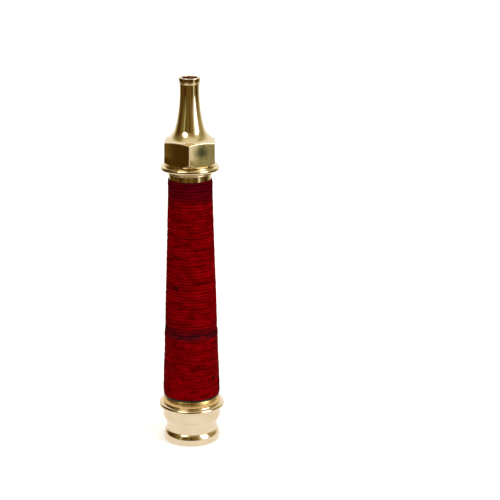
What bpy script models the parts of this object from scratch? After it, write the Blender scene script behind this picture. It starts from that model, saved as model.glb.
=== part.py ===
"""Fire hose nozzle: a cord-bound copper branch pipe with a screw-on brass jet.

Metres, +Z up along the waterway. The origin is the centre of the coupling's flat base.
Lengths below are in millimetres and are scaled once, when a profile becomes a mesh.
"""
import math

import bpy
from mathutils import Matrix

MM = 0.001
SEGMENTS = 36
GAP = 0.3
CHAMFER = 0.6

# Coupling: the ring that the hose's coupling locks round, the neck, the band and the bead.
RING_R = 37.9
RING_SIDE_TOP = 8.0
RING_TOP_Z = 14.8
RING_SHOULDER = ((35.0, 14.4), (36.7, 13.3), (RING_R, 11.2))
RING_EDGE_R = 1.6
NECK_FOOT_R = 34.1
NECK_R = 34.4
NECK_Z = 21.5
NECK_SWEEP = ((37.0, 28.0), (NECK_R, 27.0))
BAND_R = 39.1
BAND_BOTTOM_Z = 33.3
BAND_TOP_Z = 44.7
BEAD_RING_R = 40.8
BEAD_R = 3.6
BEAD_Z = 50.3
COUPLING_TOP_Z = 55.0
COUPLING_BORE_R = 30.0
BORE_CHAMFER = 1.0
SOCKET_R = 35.3
SOCKET_Z = 38.2

# Tail piece: the crowned collar under the barrel, its screwed end and the spigot inside the barrel.
COLLAR_R = 38.8
COLLAR_BOTTOM_Z = COUPLING_TOP_Z + GAP
COLLAR_CROWN = ((38.6, 58.0), (38.1, 60.8), (37.3, 63.4))
COLLAR_TOP_Z = 64.0
TAIL_BORE_R = 31.0
TAIL_R = SOCKET_R - 0.4
TAIL_BOTTOM_Z = 41.4
SPIGOT_TOP_Z = 90.0

# Grub screw across the socket, at the back.
LOCK_SCREW_Z = 43.2
LOCK_SCREW_R = 1.8
LOCK_SCREW_SIDES = 16

# Packing ring between the collar and the barrel's end.
PACKING_R = 38.0

# Copper barrel: a straight taper.
BARREL_BOTTOM_Z = 66.5
BARREL_TOP_Z = 372.0
BARREL_BOTTOM_R = 35.5
BARREL_TAPER = 0.0348
BARREL_WALL = 1.5

# Branch head: skirt over the barrel, neck, rim and the screwed spigot.
SKIRT_BOTTOM_Z = 352.0
SKIRT_R = 27.2
HEAD_NECK_R = 28.1
RIM_R = 29.2
RIM_BOTTOM_Z = 374.0
RIM_TOP_Z = 376.3
SPIGOT_ROOT_R = 25.6
SPIGOT_TIP_R = 25.2
SPIGOT_RELIEF = 1.2
HEAD_TOP_Z = 396.4
HEAD_BORE_R = 21.0
HEAD_FUNNEL_R = 24.0
HEAD_FUNNEL_HEIGHT = 8.0

# Cord binding, as the sleeve that its turns fill: (radius, height) down its outer side.
CORD_BOTTOM_Z = 66.7
CORD_JOIN_Z = 157.0
CORD_TOP_Z = 366.3
CORD_EDGE = 1.2
UPPER_CORD = ((28.9, CORD_TOP_Z), (29.7, CORD_TOP_Z - CORD_EDGE), (29.6, 352.0), (30.7, 308.0),
              (32.5, 252.0), (34.2, 205.0), (35.1, 170.0), (35.2, CORD_JOIN_Z + GAP))
LOWER_CORD = ((35.5, CORD_JOIN_Z), (36.0, CORD_JOIN_Z - 2.0), (36.6, 124.0), (37.8, 98.0),
              (38.4, 76.0), (38.6, CORD_BOTTOM_Z + CORD_EDGE), (37.8, CORD_BOTTOM_Z))

# Screw thread between the head and the jet: right-hand, rounded, six to the inch.
THREAD_PITCH = 25.4 / 6
THREAD_R = 26.6
THREAD_HEIGHT = 0.75
THREAD_CLEARANCE = 0.6
THREAD_BOTTOM_Z = 378.4
THREAD_TOP_Z = 395.6
THREAD_ROWS = 20

# Jet: bead, hexagon, flare and lip.
TIP_BOTTOM_Z = 376.9
TIP_FOOT_R = 32.5
TIP_BEAD_RING_R = 35.5
TIP_BEAD_R = 3.1
TIP_BEAD_Z = 381.6
TROUGH_R = 34.0
TROUGH_Z = 386.6
HEX_SIDES = 6
HEX_APOTHEM = 33.0
HEX_CORNER_R = HEX_APOTHEM / math.cos(math.pi / HEX_SIDES)
HEX_BOTTOM_Z = 389.8
HEX_TOP_Z = 417.2
HEX_CHAMFER = 1.6
HEX_TURN_DEG = 0.0
FLARE_FOOT_Z = 418.8
FLARE_WAIST = (19.6, 432.5)
FLARE_SWEEP = ((12.6, 466.0), (15.0, 446.5))
FLARE_FOOT_SWEEP = ((21.2, 427.6), (28.0, 420.8))
NECK_TOP_R = 12.6
NECK_TOP_Z = 484.0
LIP_R = 14.3
LIP_HEIGHT = 5.4
LIP_TAPER = 0.8
LIP_RING_R = 13.4
TIP_TOP_Z = 500.0
JET_R = 9.5
JET_LENGTH = 26.0
MOUTH_R = 10.4
TIP_SOCKET_R = 25.9
CONE_TOP = (12.0, 446.0)
CONE_BOTTOM_R = 20.4
WASHER_BORE_R = 20.6
WASHER_BOTTOM_Z = HEAD_TOP_Z + 0.4
WASHER_TOP_Z = 399.6
SHOULDER_Z = 400.0

# Cutters for the flats of the hexagon.
FLAT_DEPTH = 14.0
FLAT_WIDTH = 60.0
FLAT_RUN_OVER = 6.0


def clear_scene():
    for obj in list(bpy.data.objects):
        bpy.data.objects.remove(obj, do_unlink=True)


def new_collection(name):
    collection = bpy.data.collections.new(name)
    bpy.context.scene.collection.children.link(collection)
    return collection


def material(name, colour, roughness, metallic):
    mat = bpy.data.materials.new(name)
    mat.use_nodes = True
    shader = mat.node_tree.nodes["Principled BSDF"]
    shader.inputs["Base Color"].default_value = (*colour, 1.0)
    shader.inputs["Roughness"].default_value = roughness
    shader.inputs["Metallic"].default_value = metallic
    return mat


def arc(centre_r, centre_z, radius, start_deg, end_deg, steps):
    """Points on an arc in the profile plane; 0 degrees points outwards and 90 up."""
    points = []
    for i in range(steps + 1):
        angle = math.radians(start_deg + (end_deg - start_deg) * i / steps)
        points.append((centre_r + radius * math.cos(angle), centre_z + radius * math.sin(angle)))
    return points


def bezier(start, handle_1, handle_2, end, steps):
    """Points on a cubic curve, without its first point."""
    points = []
    for i in range(1, steps + 1):
        t = i / steps
        weights = ((1 - t) ** 3, 3 * t * (1 - t) ** 2, 3 * t * t * (1 - t), t ** 3)
        corners = (start, handle_1, handle_2, end)
        points.append(tuple(sum(w * c[k] for w, c in zip(weights, corners)) for k in (0, 1)))
    return points


def turned(name, profile, mat, collection):
    """A ring-shaped solid. Its closed profile runs down the outer side and up the inner one."""
    mesh = bpy.data.meshes.new(name)
    count = len(profile)
    verts = [(r * MM, 0.0, z * MM) for r, z in profile]
    edges = [(i, (i + 1) % count) for i in range(count)]
    mesh.from_pydata(verts, edges, [])
    obj = bpy.data.objects.new(name, mesh)
    collection.objects.link(obj)
    screw = obj.modifiers.new("turn", "SCREW")
    screw.axis = "Z"
    screw.angle = math.tau
    screw.steps = SEGMENTS
    screw.render_steps = SEGMENTS
    screw.use_merge_vertices = True
    screw.merge_threshold = 0.00001
    screw.use_smooth_shade = True
    settle(obj)
    obj.data.materials.append(mat)
    return obj


def settle(obj):
    """Turns an object's modifiers into its own mesh, shaded smooth up to real edges."""
    bpy.context.view_layer.update()
    evaluated = obj.evaluated_get(bpy.context.evaluated_depsgraph_get())
    mesh = bpy.data.meshes.new_from_object(evaluated)
    obj.modifiers.clear()
    obj.data = mesh
    mesh.shade_smooth()
    mesh.set_sharp_from_angle(angle=math.radians(35))


def thread_wave(angle, z):
    """Height of the rounded thread, from -1 to 1, and how far it has run out at its ends."""
    fade = min((z - THREAD_BOTTOM_Z), (THREAD_TOP_Z - z)) / THREAD_PITCH
    return math.cos(math.tau * z / THREAD_PITCH - angle), max(0.0, min(1.0, fade))


def cut_thread(obj, base_r, inner):
    """Waves the turned wall at base_r into a helix. An inner thread runs out wide, an outer narrow."""
    run_out = THREAD_HEIGHT if inner else -THREAD_HEIGHT
    for vertex in obj.data.vertices:
        x, y, z = (c / MM for c in vertex.co)
        if not THREAD_BOTTOM_Z - 0.01 <= z <= THREAD_TOP_Z + 0.01:
            continue
        if abs(math.hypot(x, y) - base_r) > 0.01:
            continue
        angle = math.atan2(y, x)
        wave, full = thread_wave(angle, z)
        radius = base_r + THREAD_HEIGHT * wave * full + run_out * (1 - full)
        vertex.co.x = radius * math.cos(angle) * MM
        vertex.co.y = radius * math.sin(angle) * MM
    obj.data.update()


def thread_rows(base_r):
    """Profile points down the threaded wall."""
    step = (THREAD_TOP_Z - THREAD_BOTTOM_Z) / THREAD_ROWS
    return [(base_r, THREAD_TOP_Z - i * step) for i in range(THREAD_ROWS + 1)]


def move_to(obj, collection):
    for owner in list(obj.users_collection):
        owner.objects.unlink(obj)
    collection.objects.link(obj)


def cutter(obj, collection):
    move_to(obj, collection)
    obj.hide_render = True
    obj.display_type = "WIRE"


def subtract(obj, tool):
    boolean = obj.modifiers.new(tool.name, "BOOLEAN")
    boolean.operation = "DIFFERENCE"
    boolean.solver = "EXACT"
    boolean.object = tool


def barrel_r(z):
    return BARREL_BOTTOM_R - BARREL_TAPER * (z - BARREL_BOTTOM_Z)


def make_coupling(mat, collection, cutters):
    edge_r = RING_R - RING_EDGE_R
    band_foot = (BAND_R - 2 * CHAMFER, BAND_BOTTOM_Z - CHAMFER)
    profile = [(SOCKET_R, COUPLING_TOP_Z), (BAND_R - GAP, COUPLING_TOP_Z)]
    profile += arc(BEAD_RING_R, BEAD_Z, BEAD_R, 110, -100, 8)
    profile += [(BAND_R, BAND_TOP_Z), (BAND_R, BAND_BOTTOM_Z + CHAMFER)]
    profile += [(BAND_R - CHAMFER, BAND_BOTTOM_Z), band_foot]
    profile += bezier(band_foot, *NECK_SWEEP, (NECK_R, NECK_Z), 4)
    profile += [(NECK_FOOT_R, RING_TOP_Z), RING_SHOULDER[0]]
    profile += bezier(*RING_SHOULDER, (RING_R, RING_SIDE_TOP), 5)
    profile += arc(edge_r, RING_EDGE_R, RING_EDGE_R, 0, -90, 3)
    profile += [(COUPLING_BORE_R + BORE_CHAMFER, 0.0), (COUPLING_BORE_R, BORE_CHAMFER)]
    profile += [(COUPLING_BORE_R, SOCKET_Z), (SOCKET_R, SOCKET_Z)]
    body = turned("coupling_body", profile, mat, collection)
    hole = rod_through_wall("lock_screw_hole", LOCK_SCREW_R + GAP, TAIL_BORE_R, BAND_R + BEAD_R)
    cutter(hole, cutters)
    subtract(body, hole)


def rod_through_wall(name, radius, inner_y, outer_y):
    """A rod along +Y at the lock screw's height."""
    bpy.ops.mesh.primitive_cylinder_add(
        vertices=LOCK_SCREW_SIDES, radius=radius * MM, depth=(outer_y - inner_y) * MM,
        location=(0, (inner_y + outer_y) / 2 * MM, LOCK_SCREW_Z * MM),
        rotation=(math.radians(90), 0, 0))
    rod = bpy.context.object
    rod.name = name
    return rod


def make_lock_screw(mat, collection):
    screw = rod_through_wall("coupling_lock_screw", LOCK_SCREW_R, TAIL_R + GAP, BAND_R - CHAMFER)
    move_to(screw, collection)
    screw.data.materials.append(mat)


def make_coupling_washer(mat, collection):
    bottom = SOCKET_Z + GAP
    top = TAIL_BOTTOM_Z - GAP
    outer = SOCKET_R - GAP
    inner = COUPLING_BORE_R + GAP
    turned("coupling_washer", [(outer, top), (outer, bottom), (inner, bottom), (inner, top)], mat, collection)


def make_tail_piece(mat, collection):
    top_r = barrel_r(SPIGOT_TOP_Z) - BARREL_WALL - GAP
    root_r = barrel_r(BARREL_BOTTOM_Z) - BARREL_WALL - GAP
    profile = [(top_r, SPIGOT_TOP_Z), (root_r, BARREL_BOTTOM_Z), (root_r, COLLAR_TOP_Z)]
    profile += [(COLLAR_CROWN[-1][0] - CHAMFER, COLLAR_TOP_Z)]
    profile += reversed(COLLAR_CROWN)
    profile += [(COLLAR_R, COLLAR_BOTTOM_Z + CHAMFER), (COLLAR_R - CHAMFER, COLLAR_BOTTOM_Z)]
    profile += [(TAIL_R, COLLAR_BOTTOM_Z), (TAIL_R, TAIL_BOTTOM_Z + CHAMFER)]
    profile += [(TAIL_R - CHAMFER, TAIL_BOTTOM_Z), (TAIL_BORE_R, TAIL_BOTTOM_Z)]
    profile += [(TAIL_BORE_R, SPIGOT_TOP_Z)]
    turned("tail_piece", profile, mat, collection)


def make_packing_ring(mat, collection):
    inner = barrel_r(BARREL_BOTTOM_Z) - BARREL_WALL
    bottom = COLLAR_TOP_Z + GAP
    top = BARREL_BOTTOM_Z - GAP
    profile = [(PACKING_R - CHAMFER, top), (PACKING_R, top - CHAMFER), (PACKING_R, bottom)]
    profile += [(inner, bottom), (inner, top)]
    turned("packing_ring", profile, mat, collection)


def make_barrel(mat, collection):
    top_r = barrel_r(BARREL_TOP_Z)
    profile = [(top_r, BARREL_TOP_Z), (BARREL_BOTTOM_R, BARREL_BOTTOM_Z)]
    profile += [(BARREL_BOTTOM_R - BARREL_WALL, BARREL_BOTTOM_Z), (top_r - BARREL_WALL, BARREL_TOP_Z)]
    turned("barrel_tube", profile, mat, collection)


def make_cords(mat, collection):
    """Each winding is one sleeve: its turns lie side by side and are held all along."""
    join_r = barrel_r(CORD_JOIN_Z) + GAP
    skirt_r = SKIRT_R + GAP
    upper = list(UPPER_CORD) + [(join_r, CORD_JOIN_Z + GAP)]
    upper += [(barrel_r(SKIRT_BOTTOM_Z) + GAP, SKIRT_BOTTOM_Z - 1.0), (skirt_r, SKIRT_BOTTOM_Z - GAP)]
    upper += [(skirt_r, CORD_TOP_Z)]
    turned("grip_cord_upper", upper, mat, collection)
    lower = list(LOWER_CORD) + [(barrel_r(CORD_BOTTOM_Z) + GAP, CORD_BOTTOM_Z), (join_r, CORD_JOIN_Z)]
    turned("grip_cord_lower", lower, mat, collection)


def make_branch_head(mat, collection):
    sleeve_r = barrel_r(SKIRT_BOTTOM_Z) + GAP
    barrel_stop = BARREL_TOP_Z + GAP
    profile = [(SPIGOT_TIP_R, HEAD_TOP_Z)]
    profile += thread_rows(THREAD_R)
    profile += [(SPIGOT_ROOT_R, RIM_TOP_Z + SPIGOT_RELIEF), (SPIGOT_ROOT_R, RIM_TOP_Z)]
    profile += [(RIM_R - CHAMFER, RIM_TOP_Z), (RIM_R, RIM_TOP_Z - CHAMFER)]
    profile += [(RIM_R, RIM_BOTTOM_Z + CHAMFER), (HEAD_NECK_R, RIM_BOTTOM_Z)]
    profile += [(HEAD_NECK_R, CORD_TOP_Z + GAP), (SKIRT_R, CORD_TOP_Z + GAP)]
    profile += [(SKIRT_R, SKIRT_BOTTOM_Z), (sleeve_r, SKIRT_BOTTOM_Z)]
    profile += [(sleeve_r, barrel_stop), (HEAD_FUNNEL_R, barrel_stop)]
    profile += [(HEAD_BORE_R, BARREL_TOP_Z + HEAD_FUNNEL_HEIGHT), (HEAD_BORE_R, HEAD_TOP_Z)]
    head = turned("branch_head", profile, mat, collection)
    cut_thread(head, THREAD_R, inner=False)


def make_nozzle_washer(mat, collection):
    outer = TIP_SOCKET_R - CHAMFER
    profile = [(outer, WASHER_TOP_Z), (outer, WASHER_BOTTOM_Z)]
    profile += [(WASHER_BORE_R, WASHER_BOTTOM_Z), (WASHER_BORE_R, WASHER_TOP_Z)]
    turned("nozzle_washer", profile, mat, collection)


def lip_points():
    """From the mouth of the jet over the rolled lip and the thin ring under it."""
    ring_top = TIP_TOP_Z - LIP_HEIGHT - 1.2
    points = [(MOUTH_R - CHAMFER, TIP_TOP_Z - CHAMFER), (MOUTH_R, TIP_TOP_Z)]
    points += [(LIP_R - LIP_TAPER, TIP_TOP_Z), (LIP_R, TIP_TOP_Z - LIP_TAPER)]
    points += [(LIP_R - LIP_TAPER, TIP_TOP_Z - LIP_HEIGHT), (NECK_TOP_R, ring_top + CHAMFER)]
    points += [(LIP_RING_R, ring_top), (LIP_RING_R, ring_top - CHAMFER), (NECK_TOP_R, ring_top - 2 * CHAMFER)]
    return points


def flare_points():
    """From the neck down to the top of the hexagon: a long sweep and a tighter foot."""
    neck = (NECK_TOP_R, NECK_TOP_Z)
    foot = (HEX_APOTHEM, FLARE_FOOT_Z)
    points = [neck]
    points += bezier(neck, *FLARE_SWEEP, FLARE_WAIST, 6)
    points += bezier(FLARE_WAIST, *FLARE_FOOT_SWEEP, foot, 4)
    return points


def hexagon_flats(cutters):
    """Blocks whose inner faces are the flats of the hexagon."""
    height = FLARE_FOOT_Z + FLAT_RUN_OVER - TROUGH_Z
    reach = HEX_APOTHEM + FLAT_DEPTH / 2
    for i in range(HEX_SIDES):
        turn = math.radians(HEX_TURN_DEG) + math.tau * i / HEX_SIDES
        bpy.ops.mesh.primitive_cube_add(
            size=1.0, rotation=(0, 0, turn),
            location=(reach * math.cos(turn) * MM, reach * math.sin(turn) * MM,
                      (TROUGH_Z + GAP + height / 2) * MM))
        flat = bpy.context.object
        flat.name = f"hexagon_flat_{i + 1}"
        flat.data.transform(Matrix.Diagonal((FLAT_DEPTH * MM, FLAT_WIDTH * MM, height * MM, 1.0)))
        cutter(flat, cutters)
        yield flat


def make_nozzle_tip(mat, collection, cutters):
    inner_r = THREAD_R + THREAD_CLEARANCE
    mouth_z = TIP_TOP_Z - JET_LENGTH
    profile = [(JET_R, TIP_TOP_Z - 2 * CHAMFER)] + lip_points() + flare_points()
    profile += [(HEX_CORNER_R, HEX_TOP_Z), (HEX_CORNER_R, HEX_BOTTOM_Z + HEX_CHAMFER)]
    profile += [(TROUGH_R + HEX_CHAMFER / 2, HEX_BOTTOM_Z - HEX_CHAMFER), (TROUGH_R, TROUGH_Z)]
    profile += arc(TIP_BEAD_RING_R, TIP_BEAD_Z, TIP_BEAD_R, 105, -90, 7)
    profile += [(TIP_FOOT_R, TIP_BOTTOM_Z), (inner_r + THREAD_HEIGHT + GAP, TIP_BOTTOM_Z)]
    profile += list(reversed(thread_rows(inner_r)))
    profile += [(TIP_SOCKET_R, THREAD_TOP_Z + 0.5), (TIP_SOCKET_R, SHOULDER_Z)]
    profile += [(CONE_BOTTOM_R, SHOULDER_Z), CONE_TOP, (JET_R, mouth_z)]
    tip = turned("nozzle_tip", profile, mat, collection)
    cut_thread(tip, inner_r, inner=True)
    for flat in hexagon_flats(cutters):
        subtract(tip, flat)


def main():
    clear_scene()
    parts = new_collection("fire_hose_nozzle")
    cutters = new_collection("cutters")
    brass = material("polished_brass", (0.72, 0.52, 0.22), 0.16, 1.0)
    satin = material("satin_brass", (0.82, 0.68, 0.42), 0.30, 1.0)
    copper = material("copper", (0.82, 0.42, 0.26), 0.25, 1.0)
    cord = material("painted_cord", (0.25, 0.003, 0.006), 0.6, 0.0)
    rubber = material("black_rubber", (0.02, 0.02, 0.02), 0.7, 0.0)
    leather = material("washer_leather", (0.16, 0.08, 0.04), 0.8, 0.0)
    steel = material("steel", (0.45, 0.45, 0.46), 0.35, 1.0)
    make_coupling(satin, parts, cutters)
    make_lock_screw(steel, parts)
    make_coupling_washer(leather, parts)
    make_tail_piece(brass, parts)
    make_packing_ring(rubber, parts)
    make_barrel(copper, parts)
    make_cords(cord, parts)
    make_branch_head(brass, parts)
    make_nozzle_washer(leather, parts)
    make_nozzle_tip(brass, parts, cutters)


main()
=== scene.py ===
import math

import bpy
import numpy as np
from mathutils import Matrix, Vector


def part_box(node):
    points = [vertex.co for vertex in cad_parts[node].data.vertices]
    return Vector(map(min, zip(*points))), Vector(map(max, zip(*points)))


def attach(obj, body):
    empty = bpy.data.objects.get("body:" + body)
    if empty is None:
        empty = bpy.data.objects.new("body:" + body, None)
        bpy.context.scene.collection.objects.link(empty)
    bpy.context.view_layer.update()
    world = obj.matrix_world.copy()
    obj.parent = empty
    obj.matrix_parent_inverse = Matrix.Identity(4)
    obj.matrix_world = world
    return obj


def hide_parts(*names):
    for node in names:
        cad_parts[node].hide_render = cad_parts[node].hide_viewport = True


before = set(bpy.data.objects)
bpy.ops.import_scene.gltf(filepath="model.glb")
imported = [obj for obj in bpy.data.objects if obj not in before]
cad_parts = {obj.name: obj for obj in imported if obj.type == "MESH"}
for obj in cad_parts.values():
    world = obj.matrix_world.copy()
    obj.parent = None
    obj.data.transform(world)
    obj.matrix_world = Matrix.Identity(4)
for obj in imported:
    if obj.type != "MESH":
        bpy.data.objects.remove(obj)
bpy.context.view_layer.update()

# Lengths are in millimetres, and become metres in mesh_object() or by MM.
MM = 0.001
COLUMNS = 288
EDGE = 0.35

# Camera: its place, its tilt down, its roll and its lens.
CAMERA_AT = (79.0, -1913.2, 842.3)
CAMERA_PITCH_DEG = 16.7
CAMERA_ROLL_DEG = 0.30
CAMERA_LENS = 108.0

# Cord: a three-strand line wound turn against turn. Each turn lies almost level and steps up
# to the next at the back, over the last part of its way round. It sways up and down and in and
# out, and each end goes in under the others over a short share of a turn.
CORD_HALF_HEIGHT = 1.5
CORD_START_DEG = 126.0
CORD_STEP_SHARE = 0.2
CORD_SLOPE_SHARE = 0.3
CORD_TUCK_SHARE = 0.06
CORD_TUCK_DEPTH = 1.5
CORD_SWAY = 0.16
CORD_PROUD = 0.14
STRANDS = 3
STRAND_LAY = 12.3
# Dark strokes in the paint of the band where the two windings join.
STROKES = 54
STROKE_SLANT = 350.0
# Dark knocks in the paint: azimuth in degrees from the front, height and size.
KNOCKS = ((76, 92.0, 7.0), (82, 76.0, 9.0), (56, 96.0, 4.0), (-33, 224.0, 4.5), (-60, 231.0, 3.5))
KNOCK_R = 36.0
# The paint darkens towards the top, under the head: not at all at the first height, fully at the second.
TOP_DARK_FROM, TOP_DARK_FULL = 336.0, 346.0

# Screw thread of the jet: right-hand and rounded.
THREAD_PITCH = 25.4 / 6
THREAD_HEIGHT = 0.75
THREAD_CLEARANCE = 0.6
THREAD_R = 26.6
THREAD_BOTTOM = 378.4
THREAD_TOP = 395.6
THREAD_ROWS = 61

# What the brass mirrors: tones round the studio by azimuth in degrees, 0 towards the camera and
# + to its right, in five bands from straight down to overhead.
WHITE = (1.0, 1.0, 1.0)
PALE = (0.80, 0.76, 0.56)
CREAM = (0.66, 0.63, 0.42)
SAND = (0.36, 0.31, 0.14)
STONE = (0.29, 0.285, 0.155)
TAN = (0.24, 0.18, 0.075)
OLIVE = (0.19, 0.165, 0.05)
AMBER = (0.18, 0.12, 0.028)
BROWN = (0.115, 0.066, 0.015)
DARK = (0.062, 0.030, 0.005)
DOWN_ROOM = [(-180, SAND), (-140, BROWN), (-118, DARK), (-74, DARK), (-68, AMBER), (-62, BROWN),
             (-57, DARK), (-20, BROWN), (10, DARK), (44, DARK), (50, WHITE), (54, PALE), (60, SAND),
             (70, BROWN), (110, DARK), (140, OLIVE), (180, SAND)]
LOW_ROOM = [(-180, WHITE), (-150, CREAM), (-134, OLIVE), (-122, DARK), (-95, BROWN), (-74, DARK),
            (-67, AMBER), (-64, DARK), (-45, DARK), (-32, BROWN), (-16, AMBER), (-8, DARK),
            (4, AMBER), (22, BROWN), (40, DARK), (49, CREAM), (54, WHITE), (55.5, CREAM),
            (57.5, STONE), (61, STONE), (65, OLIVE), (80, BROWN), (90, DARK), (104, DARK),
            (122, SAND), (150, WHITE)]
MID_ROOM = [(-180, WHITE), (-142, WHITE), (-126, SAND), (-113, BROWN), (-96, DARK), (-78, BROWN),
            (-62, OLIVE), (-50, OLIVE), (-45, CREAM), (-40, OLIVE), (-24, BROWN), (-10, OLIVE),
            (-2, DARK), (8, AMBER), (28, TAN), (39, CREAM), (46, WHITE), (76, WHITE), (84, SAND),
            (116, SAND), (130, CREAM), (144, WHITE)]
HIGH_ROOM = [(-180, WHITE), (-134, WHITE), (-118, SAND), (-96, TAN), (-76, SAND), (-62, CREAM),
             (-16, CREAM), (4, SAND), (40, SAND), (52, CREAM), (84, CREAM), (104, SAND),
             (124, CREAM), (138, WHITE)]
TOP_ROOM = [(-180, WHITE), (-120, PALE), (120, PALE), (180, WHITE)]
# Heights on the unit sphere over which each band gives way to the next.
ROOM_BANDS = ((-0.38, -0.24), (-0.15, 0.06), (0.52, 0.88), (0.88, 0.97))
FLOOR_REACH = 9000.0
TABLE_REACH = 450.0
TABLE_GLOW = 0.95

# The jet's hexagon: its flats bulge by HEX_PILLOW across and HEX_CROWN up and down.
HEX_APOTHEM = 33.0
HEX_CORNER = HEX_APOTHEM / math.cos(math.radians(30))
HEX_ROUND = 0.5
HEX_PILLOW = 0.35
HEX_CROWN = 0.22
HEX_TOP = 418.9
HEX_FOOT_R, HEX_FOOT_Z = 34.0, 387.4

# Dark places on the brass: a dark grey-green spot on the right flat, the bore, dull with tarnish and
# painted shade, and the spigot under the cord, painted near black as paint stain and painted shade. The
# bore's dull brown fades out between two radii.
DARK_SPOT_AT = (15.8, -29.0, 407.0)
BORE_TARNISH_AND_SHADE_R = (10.0, 10.8)
SPIGOT_R, SPIGOT_TOP = 27.6, 366.2


def box_mm(node):
    """A node's radius, bottom and top."""
    low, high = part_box(node)
    return high.x / MM, low.z / MM, high.z / MM


# ---------------------------------------------------------------- mesh helpers

def mesh_object(name, verts, quads, smooth_deg=35, caps=None):
    """An object made from an array of points in millimetres and an array of four-corner faces.

    A tube's caps are given as its sides and its number of rings.
    """
    corners = quads.astype(np.int32).ravel()
    starts = np.arange(0, quads.size, 4, dtype=np.int32)
    if caps:
        sides, rings = caps
        first = np.arange(sides)[::-1]
        last = np.arange(sides) + sides * (rings - 1)
        starts = np.append(starts, [corners.size, corners.size + sides]).astype(np.int32)
        corners = np.concatenate([corners, first, last]).astype(np.int32)
    mesh = bpy.data.meshes.new(name)
    mesh.vertices.add(len(verts))
    mesh.vertices.foreach_set("co", (verts * MM).astype(np.float32).ravel())
    mesh.loops.add(corners.size)
    mesh.loops.foreach_set("vertex_index", corners)
    mesh.polygons.add(starts.size)
    mesh.polygons.foreach_set("loop_start", starts)
    mesh.update(calc_edges=True)
    mesh.validate()
    mesh.shade_smooth()
    mesh.set_sharp_from_angle(angle=math.radians(smooth_deg))
    obj = bpy.data.objects.new(name, mesh)
    bpy.context.scene.collection.objects.link(obj)
    return obj


def ring_faces(rows, columns):
    """Faces of a closed grid: rows run down the outer side and up the inner one."""
    j, i = np.meshgrid(np.arange(rows), np.arange(columns), indexing="ij")
    nj, ni = (j + 1) % rows, (i + 1) % columns
    corners = [j * columns + i, nj * columns + i, nj * columns + ni, j * columns + ni]
    return np.stack(corners, -1).reshape(-1, 4)


def turned_grid(name, radius, height):
    """A ring-shaped solid from radius and height at every row and column."""
    rows, columns = radius.shape
    angle = np.arange(columns) * math.tau / columns
    verts = np.stack([radius * np.cos(angle), radius * np.sin(angle), height], -1)
    return mesh_object(name, verts.reshape(-1, 3), ring_faces(rows, columns))


def turned(name, profile):
    points = np.array(profile)
    ones = np.ones(COLUMNS)
    return turned_grid(name, points[:, :1] * ones, points[:, 1:] * ones)


def filleted(points, steps=4):
    """A closed outline with rounded corners. Each point is (radius, height, corner radius)."""
    out = []
    count = len(points)
    for k in range(count):
        here = np.array(points[k][:2], float)
        size = points[k][2] if len(points[k]) > 2 else 0.0
        before = np.array(points[k - 1][:2], float) - here
        after = np.array(points[(k + 1) % count][:2], float) - here
        reach_b, reach_a = np.linalg.norm(before), np.linalg.norm(after)
        if size <= 0 or min(reach_b, reach_a) < 1e-6:
            out.append(tuple(here))
            continue
        cut = min(size, 0.45 * reach_b, 0.45 * reach_a)
        start, end = here + before / reach_b * cut, here + after / reach_a * cut
        if reach_b > 4 * cut:
            out.append(tuple(here + before / reach_b * cut * 1.6))
        for s in range(steps + 1):
            t = s / steps
            out.append(tuple((1 - t) ** 2 * start + 2 * t * (1 - t) * here + t * t * end))
        if reach_a > 4 * cut:
            out.append(tuple(here + after / reach_a * cut * 1.6))
    return out


def arc(centre_r, centre_z, radius, start_deg, end_deg, steps):
    angles = np.radians(np.linspace(start_deg, end_deg, steps + 1))
    return [(centre_r + radius * math.cos(a), centre_z + radius * math.sin(a)) for a in angles]


def bezier(start, handle_1, handle_2, end, steps):
    """Points on a cubic curve, without its first point."""
    t = np.linspace(0, 1, steps + 1)[1:, None]
    corners = [np.array(p, float) for p in (start, handle_1, handle_2, end)]
    weights = ((1 - t) ** 3, 3 * t * (1 - t) ** 2, 3 * t * t * (1 - t), t ** 3)
    return [tuple(p) for p in sum(w * c for w, c in zip(weights, corners))]


def thread_radius(base, height, angle, inner):
    """The helix cut into a wall of radius base; an inner thread runs out wide, an outer one narrow."""
    fade = np.minimum(height - THREAD_BOTTOM, THREAD_TOP - height) / THREAD_PITCH
    full = np.clip(fade, 0, 1)
    wave = np.cos(math.tau * height / THREAD_PITCH - angle)
    run_out = THREAD_HEIGHT if inner else -THREAD_HEIGHT
    return base + THREAD_HEIGHT * wave * full + run_out * (1 - full)


def with_thread(name, above, base, below, inner):
    """A turned piece whose outline is above, then a threaded wall, then below."""
    heights = np.linspace(THREAD_TOP, THREAD_BOTTOM, THREAD_ROWS)
    if inner:
        heights = heights[::-1]
    angle = np.arange(COLUMNS) * math.tau / COLUMNS
    ones = np.ones(COLUMNS)
    top, bottom = np.array(above), np.array(below)
    wall = thread_radius(base, heights[:, None] * ones, angle[None, :], inner)
    radius = np.concatenate([top[:, :1] * ones, wall, bottom[:, :1] * ones])
    height = np.concatenate([top[:, 1:] * ones, heights[:, None] * ones, bottom[:, 1:] * ones])
    return turned_grid(name, radius, height)


# ---------------------------------------------------------------- materials

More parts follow.
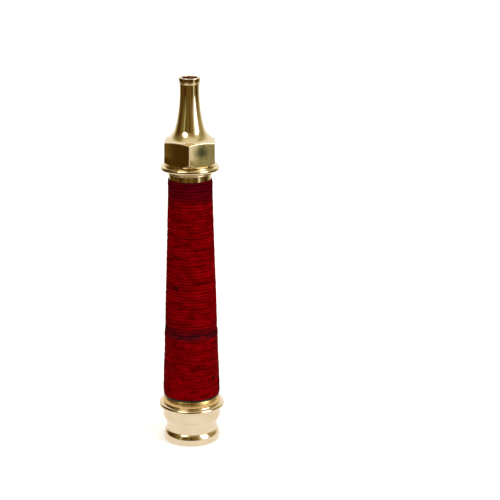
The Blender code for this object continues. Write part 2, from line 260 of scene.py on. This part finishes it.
class Nodes:
    """Short calls for building a shader tree."""

    def __init__(self, name):
        self.material = bpy.data.materials.new(name)
        self.material.use_nodes = True
        self.tree = self.material.node_tree
        self.shader = self.tree.nodes["Principled BSDF"]
        self.place = self.add("ShaderNodeTexCoord").outputs["Object"]

    def add(self, kind, **settings):
        node = self.tree.nodes.new(kind)
        for key, value in settings.items():
            setattr(node, key, value)
        return node

    def link(self, source, target):
        self.tree.links.new(source, target)

    def scaled(self, scale):
        mapping = self.add("ShaderNodeMapping")
        mapping.inputs["Scale"].default_value = scale
        self.link(self.place, mapping.inputs["Vector"])
        return mapping.outputs["Vector"]

    def noise(self, scale, detail=4.0, rough=0.55, vector=None):
        node = self.add("ShaderNodeTexNoise")
        node.inputs["Scale"].default_value = scale
        node.inputs["Detail"].default_value = detail
        node.inputs["Roughness"].default_value = rough
        self.link(vector or self.place, node.inputs["Vector"])
        return node.outputs["Fac"]

    def ramp(self, factor, stops):
        node = self.add("ShaderNodeValToRGB")
        points = node.color_ramp.elements
        while len(points) < len(stops):
            points.new(0.5)
        for point, (at, colour) in zip(points, stops):
            point.position = at
            point.color = (*colour, 1.0)
        self.link(factor, node.inputs["Fac"])
        return node.outputs["Color"]

    def remap(self, value, from_low, from_high, low, high):
        node = self.add("ShaderNodeMapRange")
        for key, number in zip(("From Min", "From Max", "To Min", "To Max"),
                               (from_low, from_high, low, high)):
            node.inputs[key].default_value = number
        self.link(value, node.inputs["Value"])
        return node.outputs["Result"]

    def mix(self, factor, a, b, blend="MIX"):
        node = self.add("ShaderNodeMix", data_type="RGBA", blend_type=blend)
        for key, value in (("Factor", factor), ("A", a), ("B", b)):
            socket = node.inputs[key]
            if isinstance(value, (int, float)):
                socket.default_value = value
            elif isinstance(value, tuple):
                socket.default_value = (*value, 1.0)
            else:
                self.link(value, socket)
        return node.outputs["Result"]

    def math(self, operation, a, b=None):
        node = self.add("ShaderNodeMath", operation=operation)
        for socket, value in zip(node.inputs, (a, b)):
            if isinstance(value, (int, float)):
                socket.default_value = value
            elif value is not None:
                self.link(value, socket)
        return node.outputs["Value"]

    def xyz(self):
        split = self.add("ShaderNodeSeparateXYZ")
        self.link(self.place, split.inputs["Vector"])
        return [split.outputs[axis] for axis in "XYZ"]

    def distance(self, spot_mm):
        """Distance from a fixed point, in metres."""
        node = self.add("ShaderNodeVectorMath", operation="DISTANCE")
        self.link(self.place, node.inputs[0])
        node.inputs[1].default_value = Vector(spot_mm) * MM
        return node.outputs["Value"]

    def bump(self, height, strength, distance_mm, under=None):
        node = self.add("ShaderNodeBump")
        node.inputs["Strength"].default_value = strength
        node.inputs["Distance"].default_value = distance_mm * MM
        self.link(height, node.inputs["Height"])
        if under is not None:
            self.link(under, node.inputs["Normal"])
        return node.outputs["Normal"]


def brass(name, light, dark, rough_low, rough_high, turning):
    """Polished brass: hand polish haze, faint turning rings, tarnish in patches and one dark grey-green
    spot.

    The narrow jet bore is dull and brown, from tarnish and painted shade. The spigot under the cord is
    painted near black, as paint stain and painted shade.
    """
    n = Nodes(name)
    patches = n.noise(34.0, 5.0, 0.6)
    tint = n.ramp(patches, [(0.36, dark), (0.62, light)])
    # A dark grey-green spot with a ragged edge on the right flat.
    rough_edge = n.remap(n.noise(120.0, 3.0, 0.6), 0.3, 0.7, -3 * MM, 3 * MM)
    ragged = n.math("ADD", n.distance(DARK_SPOT_AT), rough_edge)
    tint = n.mix(n.remap(ragged, 4 * MM, 12 * MM, 0.9, 0.0), tint, (0.15, 0.16, 0.11))
    x, y, z = n.xyz()
    radius = n.math("SQRT", n.math("ADD", n.math("POWER", x, 2.0), n.math("POWER", y, 2.0)))
    # The bore's dull brown is tarnish and painted shade inside the narrow bore.
    tarnish_and_shade_r, bright_r = BORE_TARNISH_AND_SHADE_R
    tint = n.mix(n.remap(radius, tarnish_and_shade_r * MM, bright_r * MM, 0.9, 0.0), tint, (0.26, 0.10, 0.025))
    # Near black on the spigot under the cord: paint stain and painted shade.
    spigot_stain_and_shade = n.math("MULTIPLY", n.math("LESS_THAN", radius, SPIGOT_R * MM),
                        n.math("LESS_THAN", z, SPIGOT_TOP * MM))
    tint = n.mix(spigot_stain_and_shade, tint, (0.010, 0.001, 0.001))
    n.link(tint, n.shader.inputs["Base Color"])
    n.shader.inputs["Metallic"].default_value = 1.0
    haze = n.noise(160.0, 3.0, 0.6)
    n.link(n.remap(haze, 0.3, 0.7, rough_low, rough_high), n.shader.inputs["Roughness"])
    rings = n.noise(1.0, 2.0, 0.5, n.scaled((14.0, 14.0, 1900.0)))
    waves = n.noise(26.0, 2.0, 0.5)
    soft = n.bump(waves, 0.35, 0.25)
    n.link(n.bump(rings, turning, 0.03, soft), n.shader.inputs["Normal"])
    return n.material


def plain(name, low, high, roughness, metallic, grain_scale, grain_mm, specular=0.5):
    """A material whose colour and surface vary with one grain."""
    n = Nodes(name)
    grain = n.noise(grain_scale, 6.0, 0.6)
    n.link(n.ramp(grain, [(0.3, low), (0.7, high)]), n.shader.inputs["Base Color"])
    n.shader.inputs["Metallic"].default_value = metallic
    n.link(n.remap(grain, 0.2, 0.8, roughness - 0.08, roughness + 0.08), n.shader.inputs["Roughness"])
    n.link(n.bump(grain, 0.5, grain_mm), n.shader.inputs["Normal"])
    n.shader.inputs["Specular IOR Level"].default_value = specular
    return n.material


def paint_stained_and_shaded_copper(name):
    """Copper that is bare inside, and outside is painted dark red: the paint that soaked through the cord,
    and painted shade under the cord.
    """
    n = Nodes(name)
    grain = n.noise(90.0, 6.0, 0.6)
    bare = n.ramp(grain, [(0.3, (0.62, 0.27, 0.15)), (0.7, (0.80, 0.42, 0.27))])
    flat = n.add("ShaderNodeVectorMath", operation="MULTIPLY")
    n.link(n.place, flat.inputs[0])
    flat.inputs[1].default_value = (1.0, 1.0, 0.0)
    outwards = n.add("ShaderNodeVectorMath", operation="DOT_PRODUCT")
    n.link(flat.outputs["Vector"], outwards.inputs[0])
    n.link(n.add("ShaderNodeTexCoord").outputs["Normal"], outwards.inputs[1])
    # Outward faces are painted dark red: paint stain and painted shade under the cord.
    stain_and_shade = n.math("GREATER_THAN", outwards.outputs["Value"], 0.0)
    n.link(n.mix(stain_and_shade, bare, (0.030, 0.0006, 0.0010)), n.shader.inputs["Base Color"])
    n.link(n.math("SUBTRACT", 1.0, stain_and_shade), n.shader.inputs["Metallic"])
    n.link(n.remap(grain, 0.2, 0.8, 0.22, 0.38), n.shader.inputs["Roughness"])
    n.shader.inputs["Specular IOR Level"].default_value = 0.1
    n.link(n.bump(grain, 0.5, 0.04), n.shader.inputs["Normal"])
    return n.material


def painted_cord(name, join_height):
    """Old red paint over laid cord, with a dark stained band at the join, dark knocks and painted shade in
    the crevices between strands and turns.
    """
    n = Nodes(name)
    crevice_shade = n.add("ShaderNodeAttribute", attribute_name="crevice_shade").outputs["Fac"]
    mottled = n.noise(110.0, 6.0, 0.65)
    streaks = n.noise(1.0, 4.0, 0.6, n.scaled((34.0, 34.0, 460.0)))
    red = n.ramp(mottled, [(0.32, (0.130, 0.0002, 0.0004)), (0.50, (0.205, 0.0002, 0.0012)),
                           (0.68, (0.290, 0.0003, 0.0035))])
    worn = n.ramp(streaks, [(0.38, (0.32, 0.32, 0.32)), (0.56, (1.0, 1.0, 1.0))])
    colour = n.mix(0.85, red, worn, "MULTIPLY")
    x, y, z = n.xyz()
    # Darker towards the top under the head, and the lower winding darker all over.
    darker_top = n.math("MULTIPLY", n.remap(z, TOP_DARK_FROM * MM, TOP_DARK_FULL * MM, 0.0, 1.0),
                  n.remap(mottled, 0.3, 0.7, 0.9, 0.6))
    colour = n.mix(darker_top, colour, (0.050, 0.0003, 0.0040))
    lower = n.remap(z, (join_height - 2.0) * MM, join_height * MM, 0.78, 1.0)
    colour = n.mix(1.0, colour, lower, "MULTIPLY")
    # The stained band at the join: slanting strokes that fade above and below it.
    above = n.remap(z, (join_height + 6.0) * MM, (join_height + 15.0) * MM, 1.0, 0.0)
    below = n.remap(z, (join_height - 8.0) * MM, (join_height - 2.0) * MM, 0.0, 1.0)
    around = n.math("ARCTAN2", y, x)
    slanted = n.math("ADD", n.math("MULTIPLY", around, STROKES), n.math("MULTIPLY", z, STROKE_SLANT))
    wander = n.remap(n.noise(90.0, 3.0, 0.6), 0.3, 0.7, -1.6, 1.6)
    strokes = n.math("SINE", n.math("ADD", slanted, wander))
    core = n.remap(z, (join_height - 1.0) * MM, (join_height + 7.0) * MM, 1.0, 0.0)
    strokes = n.math("MAXIMUM", n.remap(strokes, -0.1, 0.6, 0.0, 1.0), n.math("MULTIPLY", core, 0.5))
    blotches = n.remap(n.noise(60.0, 3.0, 0.6), 0.35, 0.55, 0.55, 1.0)
    stain = n.math("MULTIPLY", n.math("MULTIPLY", above, below), n.math("MULTIPLY", strokes, blotches))
    colour = n.mix(stain, colour, (0.0065, 0.0035, 0.0065))
    for azimuth, height, size in KNOCKS:
        at, reach = math.radians(azimuth), size * MM
        off = n.distance((KNOCK_R * math.sin(at), -KNOCK_R * math.cos(at), height))
        ragged = n.math("ADD", off, n.remap(mottled, 0.3, 0.7, -0.5 * reach, 0.5 * reach))
        colour = n.mix(n.remap(ragged, 0.6 * reach, reach, 0.85, 0.0), colour, (0.012, 0.003, 0.004))
    # Painted shade: the paint darkens in the crevices between strands and between turns.
    shade = n.ramp(crevice_shade, [(0.15, (1.0, 1.0, 1.0)), (0.80, (0.22, 0.18, 0.18))])
    colour = n.mix(1.0, colour, shade, "MULTIPLY")
    n.link(colour, n.shader.inputs["Base Color"])
    n.shader.inputs["IOR"].default_value = 1.02
    n.link(n.remap(mottled, 0.3, 0.7, 0.45, 0.65), n.shader.inputs["Roughness"])
    fibres = n.noise(900.0, 3.0, 0.6)
    n.link(n.bump(fibres, 0.4, 0.10), n.shader.inputs["Normal"])
    return n.material


def dress(obj, material):
    obj.data.materials.clear()
    obj.data.materials.append(material)


def fitted(obj, body, node, material):
    """A fine piece that stands for one CAD node."""
    dress(obj, material)
    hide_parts(node)
    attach(obj, body)


# ---------------------------------------------------------------- brass pieces

def make_coupling():
    ring_r, band_r, neck_r, bore_r, socket_r = 37.9, 39.1, 34.4, 30.0, 35.3
    _, bottom, top = box_mm("coupling_body")
    outline = [(socket_r, top, 0.2), (band_r - 0.3, top, EDGE)]
    # Big bead, band and waist.
    outline += [(r, z, 0) for r, z in arc(40.8, 50.3, 3.6, 112, -104, 22)]
    outline += [(band_r, 44.7, 0.9), (band_r, 33.3, 0.3), (band_r - 0.9, 32.9, 0.3)]
    waist = bezier((band_r - 0.9, 32.9), (37.0, 28.0), (neck_r, 27.0), (neck_r, 21.5), 10)
    outline += [(r, z, 0) for r, z in waist]
    # Locking ring, bore and socket.
    outline += [(34.1, 14.8, 0.4), (34.9, 14.5, 0.3)]
    shoulder = bezier((35.0, 14.4), (36.0, 13.2), (37.5, 10.6), (ring_r, 8.0), 10)
    outline += [(r, z, 0) for r, z in shoulder]
    outline += [(r, z, 0) for r, z in arc(ring_r - 1.6, bottom + 1.6, 1.6, 0, -90, 6)]
    outline += [(bore_r + 1.0, bottom, 0.3), (bore_r, bottom + 1.0, 0.3)]
    outline += [(bore_r, 38.2, 0.2), (socket_r, 38.2, 0.2)]
    return turned("coupling", filleted(outline))


def make_tail():
    radius, bottom, top = box_mm("tail_piece")
    outline = [(32.8, top, 0.3), (33.7, 66.5, 0.2), (33.7, 64.0, 0.2), (36.7, 64.0, 0.3)]
    outline += [(37.3, 63.4, 0.5), (38.1, 60.8, 1.5), (38.6, 58.0, 1.5), (radius, 55.9, 0.6)]
    outline += [(radius - 0.5, 55.3, 0.3), (34.9, 55.3, 0.2), (34.9, bottom, 0.5), (31.0, bottom, 0.3)]
    outline += [(31.0, top, 0.3)]
    return turned("tail_ferrule", filleted(outline))


def make_packing():
    radius, bottom, top = box_mm("packing_ring")
    outline = [(radius, top, 1.1), (radius, bottom, 1.1), (34.0, bottom, 0.2), (34.0, top, 0.2)]
    return turned("black_ring", filleted(outline))


def make_head():
    radius, bottom, top = box_mm("branch_head")
    above = filleted([(20.9, top), (25.2, top, 0.4)])
    below = [(25.6, 377.5), (25.6, 376.4), (25.9, 376.3), (radius - 1.3, 376.3)]
    below += arc(radius - 1.6, 374.6, 1.6, 70, 6, 8) + arc(radius - 0.6, 374.3, 0.6, -10, -84, 4)
    below += filleted([(28.3, 373.9), (28.1, 373.5, 0.4), (28.1, 366.6, 0.2), (27.2, 366.6, 0.2),
                       (27.2, bottom, 0.2), (25.9, bottom, 0.2), (25.9, 372.3, 0.2), (24.0, 372.3, 0.3),
                       (21.0, 380.0, 0.5)])
    return with_thread("branch_head_fine", above, THREAD_R, below, inner=False)


def from_flat(angle):
    """Angle to the middle of the nearest of the hexagon's flats, one of which lies at angle 0."""
    return (angle + math.pi / 6) % (math.pi / 3) - math.pi / 6


def hexagon(angle):
    """Distance from the axis to the side of a hexagon with slightly rounded corners."""
    off = from_flat(angle)
    flat = HEX_APOTHEM / np.cos(off)
    centre = (HEX_APOTHEM - HEX_ROUND) / math.cos(math.pi / 6)
    from_corner = math.pi / 6 - np.abs(off)
    inside = HEX_ROUND ** 2 - (centre * np.sin(from_corner)) ** 2
    rounded = centre * np.cos(from_corner) + np.sqrt(np.maximum(inside, 0))
    on_flat = HEX_APOTHEM * np.tan(np.abs(off)) < (HEX_APOTHEM - HEX_ROUND) * math.tan(math.pi / 6)
    return np.where(on_flat, flat, rounded)


def hexagon_rows(angle):
    """Rows down the hexagon: its nearly flat top, the face, and the chamfer into the trough."""
    reach = hexagon(angle)
    pillow = HEX_PILLOW * (np.tan(from_flat(angle)) / math.tan(math.pi / 6)) ** 2
    top_z = HEX_TOP - 0.1 - (reach - HEX_APOTHEM) / (HEX_CORNER - HEX_APOTHEM) * 1.6
    bottom_z = HEX_FOOT_Z + np.maximum(reach - HEX_FOOT_R, 0) / (HEX_CORNER - HEX_FOOT_R) * 4.0
    rows = []
    for share in (0.12, 0.5, 0.85):
        inner = HEX_APOTHEM - 0.8 + (reach - HEX_APOTHEM + 0.4) * share
        rows.append((inner, HEX_TOP + (top_z - HEX_TOP) * share))
    top_rows = len(rows)
    for back, down in ((0.3, 0.02), (0.1, 0.1), (0.02, 0.3), (0.0, 0.7), (0.0, 4.0)):
        rows.append((reach - back, top_z - down))
    for share in (0.2, 0.35, 0.5, 0.65, 0.8):
        rows.append((reach, top_z - 4.0 + (bottom_z - top_z + 8.0) * share))
    middle = (top_z + bottom_z) / 2
    for k in range(top_rows, len(rows)):
        r, z = rows[k]
        rows[k] = (r - pillow - HEX_CROWN * ((z - middle) / (top_z - middle)) ** 2, z)
    for back, up in ((0.0, 4.0), (0.0, 0.7), (0.02, 0.3), (0.1, 0.1), (0.3, -0.05)):
        rows.append((reach - back, bottom_z + up))
    rows.append((np.full_like(angle, HEX_FOOT_R), np.full_like(angle, HEX_FOOT_Z - 0.35)))
    return rows


def make_tip():
    _, bottom, top = box_mm("nozzle_tip")
    columns = 360
    angle = np.arange(columns) * math.tau / columns
    ones = np.ones(columns)
    lip_r, neck_r, bore_r, mouth_r = 14.3, 12.6, 9.5, 10.4
    neck_top, waist = (neck_r, 484.0), (19.6, 432.5)
    lip = filleted([(bore_r, 474.0), (bore_r, top - 9.0, 1.0), (mouth_r - 0.2, top - 0.5, 0.2),
                    (mouth_r, top - 0.1, 0.2), (mouth_r + 0.6, top, 0.3), (lip_r - 0.1, top, 0.9),
                    (lip_r, top - 1.2, 0.5), (lip_r - 0.8, top - 5.2, 0.3), (neck_r, top - 5.5, 0.2),
                    (neck_r + 1.3, top - 6.9, 0.3), (neck_r + 1.1, top - 7.5, 0.3),
                    (neck_r, top - 8.3, 0.4), neck_top])[1:]
    flare = bezier(neck_top, (neck_r, 466.0), (15.0, 446.5), waist, 26)
    flare += bezier(waist, (21.2, 427.6), (28.0, 420.8), (HEX_APOTHEM - 1.0, 419.1), 16)
    rows = [(r * ones, z * ones) for r, z in lip + flare]
    rows += hexagon_rows(angle)
    bead = [(33.9, 386.4)] + arc(35.5, 381.6, 3.1, 112, -88, 20)
    base = filleted([(34.6, 378.2), (32.5, bottom, 0.6), (28.6, bottom, 0.4), (28.0, 378.2)])[1:]
    rows += [(r * ones, z * ones) for r, z in bead + base]
    for z in np.linspace(THREAD_BOTTOM, THREAD_TOP, THREAD_ROWS):
        wall = thread_radius(THREAD_R + THREAD_CLEARANCE, z * ones, angle, inner=True)
        rows.append((wall, z * ones))
    rows += [(r * ones, z * ones) for r, z in ((25.9, 396.1), (25.9, 400.0), (20.4, 400.0), (12.0, 446.0))]
    radius = np.stack([r for r, _ in rows])
    height = np.stack([z for _, z in rows])
    return turned_grid("jet_tip", radius, height)


# ---------------------------------------------------------------- cord

def outer_profile(node, count=80):
    """Heights and outer radii of a turned CAD node, where its edges cross each height."""
    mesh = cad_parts[node].data
    points = np.array([v.co for v in mesh.vertices]) / MM
    ends = np.array([e.vertices for e in mesh.edges])
    radii = np.hypot(points[:, 0], points[:, 1])
    low, high = points[:, 2].min(), points[:, 2].max()
    levels = np.linspace(low + 0.01, high - 0.01, count)
    outer = []
    for level in levels:
        z1, z2 = points[ends[:, 0], 2], points[ends[:, 1], 2]
        crossing = (z1 - level) * (z2 - level) < 0
        share = (level - z1[crossing]) / (z2 - z1)[crossing]
        r1, r2 = radii[ends[crossing, 0]], radii[ends[crossing, 1]]
        outer.append((r1 + (r2 - r1) * share).max())
    return levels, np.array(outer)


def drift(rng, count, knots, size):
    """A smooth random wander along a run of points."""
    return np.interp(np.linspace(0, knots, count), np.arange(knots + 1), rng.normal(0, size, knots + 1))


def turn_climb(turn, turns):
    """Height of the winding in turns: a gentle slope, then the step up to the next turn.

    The first and last lengths lie level under and over the steps beside them.
    """
    part = turn % 1.0
    step = np.clip((part - 1 + CORD_STEP_SHARE) / CORD_STEP_SHARE, 0, 1)
    step = step * step * (3 - 2 * step)
    climb = np.floor(turn) + CORD_SLOPE_SHARE * part + (1 - CORD_SLOPE_SHARE) * step
    climb = np.where(turn < 0, 0.1 * turn, climb)
    last = turns - 1 + CORD_SLOPE_SHARE * (turn - turns + 1)
    return np.where(turn > turns - CORD_STEP_SHARE, last, climb)


def strand_shape(angle, depth):
    """Three rounded strands round a cord, with the crevices between them."""
    return 1 - depth * (1 - np.abs(np.cos(0.5 * STRANDS * angle)) ** 0.8)


def make_cord(name, node, seed, turns, steps, sides, depth, flatness, strand_shade, gap_shade):
    """Laid cord wound turn against turn over the sleeve's height. Both ends are tucked under.

    It has a number of steps in each turn and a number of sides. Depth is that of the crevices between
    strands, and a lower flatness squares the cord's face. Its crevice attribute is painted shade that
    darkens the paint, up to the strand shade between strands and up to the gap shade between turns.
    """
    rng = np.random.default_rng(seed)
    _, bottom, top = box_mm(node)
    levels, outer = outer_profile(node)
    pitch = (top - bottom) / turns
    length = turns + CORD_STEP_SHARE
    count = int(length * steps) + 1
    turn = np.linspace(-CORD_STEP_SHARE, turns, count)
    angle = turn * math.tau + math.radians(CORD_START_DEG)
    height = bottom + pitch * (turn_climb(turn, turns) + 0.45) + drift(rng, count, turns * 7, CORD_SWAY)
    tuck = np.clip(np.minimum(turn + CORD_STEP_SHARE, turns - turn) / CORD_TUCK_SHARE, 0, 1)
    proud = drift(rng, count, turns * 9, CORD_PROUD) - CORD_TUCK_DEPTH * (1 - tuck)
    reach = np.interp(height, levels, outer) - CORD_HALF_HEIGHT + proud
    run = np.cumsum(reach * math.tau * length / (count - 1))
    front = np.linspace(-1.9, 1.9, sides - 1)
    side = np.append(front, math.pi)
    strands = strand_shape(side[None, :] - math.tau * run[:, None] / STRAND_LAY, depth)
    strands[:, -1] = 1.0
    outwards = np.sign(np.cos(side)) * np.abs(np.cos(side)) ** flatness
    upwards = np.sign(np.sin(side)) * np.abs(np.sin(side)) ** 0.85
    radius = reach[:, None] + CORD_HALF_HEIGHT * outwards * strands
    rise = 0.55 * pitch * upwards * strands * (0.5 + 0.5 * tuck)[:, None]
    verts = np.stack([radius * np.cos(angle)[:, None], radius * np.sin(angle)[:, None],
                      height[:, None] + rise], -1).reshape(-1, 3)
    i, k = np.meshgrid(np.arange(count - 1), np.arange(sides), indexing="ij")
    nk = (k + 1) % sides
    quads = np.stack([i * sides + k, (i + 1) * sides + k, (i + 1) * sides + nk, i * sides + nk], -1)
    cord = mesh_object(name, verts, quads.reshape(-1, 4), smooth_deg=80, caps=(sides, count))
    # Painted shade between turns and between strands, kept as the crevice attribute that darkens the
    # paint.
    between = gap_shade * np.clip((np.abs(side) - 0.6) / 1.0, 0, 1)[None, :]
    dark = np.maximum(strand_shade * (1 - strands) / depth, between)
    crevice_shade = cord.data.attributes.new("crevice_shade", "FLOAT", "POINT")
    crevice_shade.data.foreach_set("value", dark.astype(np.float32).ravel())
    return cord


# ---------------------------------------------------------------- stage

def make_floor():
    """A wide pale floor, and the small bright table top that the brass mirrors instead of it."""
    n = Nodes("pale_floor")
    n.shader.inputs["Base Color"].default_value = (0.93, 0.93, 0.93, 1.0)
    n.shader.inputs["Roughness"].default_value = 0.9
    n.shader.inputs["Specular IOR Level"].default_value = 0.0
    glow = Nodes("table_glow")
    glow.shader.inputs["Base Color"].default_value = (0.0, 0.0, 0.0, 1.0)
    glow.shader.inputs["Specular IOR Level"].default_value = 0.0
    glow.shader.inputs["Emission Color"].default_value = (1.0, 0.99, 0.97, 1.0)
    glow.shader.inputs["Emission Strength"].default_value = TABLE_GLOW
    corners = np.array([[-1, -1, 0], [1, -1, 0], [1, 1, 0], [-1, 1, 0]])
    for name, reach, shader in (("floor", FLOOR_REACH, n), ("table_top", TABLE_REACH, glow)):
        floor = mesh_object(name, corners * reach, np.array([[0, 1, 2, 3]]))
        dress(floor, shader.material)
        mirrored = shader is glow
        floor.visible_glossy = mirrored
        floor.visible_camera = not mirrored
        floor.visible_diffuse = not mirrored
        floor.visible_shadow = not mirrored


def window(name, azimuth, elevation, distance, size, radiance):
    """An elliptical window of even brightness that faces the object's upper part. It is in metres."""
    az, el = math.radians(azimuth), math.radians(elevation)
    away = Vector((math.cos(el) * math.sin(az), -math.cos(el) * math.cos(az), math.sin(el)))
    light = bpy.data.lights.new(name, "AREA")
    light.shape = "ELLIPSE"
    light.size, light.size_y = size
    light.energy = radiance * math.pi * size[0] * size[1]
    obj = bpy.data.objects.new(name, light)
    obj.location = Vector((0, 0, 0.4)) + away * distance
    obj.rotation_euler = away.to_track_quat("Z", "Y").to_euler()
    obj.visible_camera = False
    bpy.context.scene.collection.objects.link(obj)


class World(Nodes):
    """The same short calls for the world's shader."""

    def __init__(self, name):
        self.material = bpy.data.worlds.new(name)
        self.material.use_nodes = True
        self.tree = self.material.node_tree
        self.shader = self.tree.nodes["Background"]
        self.place = self.add("ShaderNodeTexCoord").outputs["Generated"]


def make_studio():
    """A room of plain tones for the brass to mirror, two windows and a wide soft skylight.

    The camera sees only white.
    """
    w = World("studio")
    bpy.context.scene.world = w.material
    x, y, z = w.xyz()
    azimuth = w.math("ARCTAN2", x, w.math("MULTIPLY", y, -1.0))
    turn = w.remap(azimuth, -math.pi, math.pi, 0.0, 1.0)
    bands = []
    for tones in (DOWN_ROOM, LOW_ROOM, MID_ROOM, HIGH_ROOM, TOP_ROOM):
        bands.append(w.ramp(turn, [((az + 180) / 360, tone) for az, tone in tones]))
    room = bands[0]
    for band, (start, end) in zip(bands[1:], ROOM_BANDS):
        room = w.mix(w.remap(z, start, end, 0.0, 1.0), room, band)
    seen = w.add("ShaderNodeLightPath").outputs["Is Camera Ray"]
    w.link(w.mix(seen, room, WHITE), w.shader.inputs["Color"])
    window("window_left", azimuth=-40, elevation=46, distance=2.0, size=(1.05, 1.40), radiance=2.0)
    window("window_right", azimuth=61, elevation=22, distance=2.0, size=(1.05, 2.1), radiance=2.0)
    sun = bpy.data.lights.new("skylight", "SUN")
    sun.energy = 2.5
    sun.angle = math.radians(120)
    obj = bpy.data.objects.new("skylight", sun)
    obj.rotation_euler = Vector((0.1, -0.5, 1.0)).to_track_quat("Z", "Y").to_euler()
    obj.visible_glossy = False
    obj.visible_camera = False
    bpy.context.scene.collection.objects.link(obj)


def make_camera():
    camera = bpy.data.cameras.new("camera")
    camera.lens = CAMERA_LENS
    camera.sensor_width = 36.0
    obj = bpy.data.objects.new("camera", camera)
    obj.location = Vector(CAMERA_AT) * MM
    tilt = Matrix.Rotation(math.radians(90 - CAMERA_PITCH_DEG), 4, "X")
    roll = Matrix.Rotation(math.radians(CAMERA_ROLL_DEG), 4, "Z")
    obj.rotation_euler = (tilt @ roll).to_euler()
    bpy.context.scene.collection.objects.link(obj)
    bpy.context.scene.camera = obj


def main():
    make_camera()
    bpy.context.scene.view_settings.view_transform = "Standard"
    bright = brass("polished_brass", (0.87, 0.71, 0.47), (0.81, 0.64, 0.39), 0.03, 0.09, 0.20)
    pale = brass("satin_brass", (0.87, 0.71, 0.49), (0.82, 0.65, 0.43), 0.05, 0.10, 0.25)
    gold = brass("golden_brass", (0.86, 0.58, 0.24), (0.76, 0.47, 0.16), 0.20, 0.28, 0.20)
    rubber = plain("black_rubber", (0.008, 0.010, 0.009), (0.016, 0.022, 0.016), 0.22, 0.0, 220.0, 0.03,
                   specular=0.3)
    leather = plain("washer_leather", (0.09, 0.045, 0.02), (0.20, 0.11, 0.06), 0.75, 0.0, 700.0, 0.08)
    copper = paint_stained_and_shaded_copper("copper")
    steel = plain("steel", (0.30, 0.30, 0.31), (0.50, 0.50, 0.51), 0.35, 1.0, 300.0, 0.03)
    join = box_mm("grip_cord_lower")[2]
    red = painted_cord("painted_cord", join)
    fitted(make_coupling(), "branch", "coupling_body", pale)
    fitted(make_tail(), "branch", "tail_piece", gold)
    fitted(make_packing(), "branch", "packing_ring", rubber)
    fitted(make_head(), "branch", "branch_head", bright)
    fitted(make_tip(), "jet", "nozzle_tip", bright)
    upper = make_cord("cord_upper", "grip_cord_upper", seed=3, turns=50, steps=220, sides=9, depth=0.36,
                      flatness=0.6, strand_shade=1.0, gap_shade=0.90)
    fitted(upper, "branch", "grip_cord_upper", red)
    lower = make_cord("cord_lower", "grip_cord_lower", seed=5, turns=21, steps=260, sides=11, depth=0.06,
                      flatness=0.3, strand_shade=0.6, gap_shade=0.80)
    fitted(lower, "branch", "grip_cord_lower", red)
    for node, material in (("barrel_tube", copper), ("coupling_washer", leather),
                           ("nozzle_washer", leather), ("coupling_lock_screw", steel)):
        dress(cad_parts[node], material)
    make_floor()
    make_studio()


main()
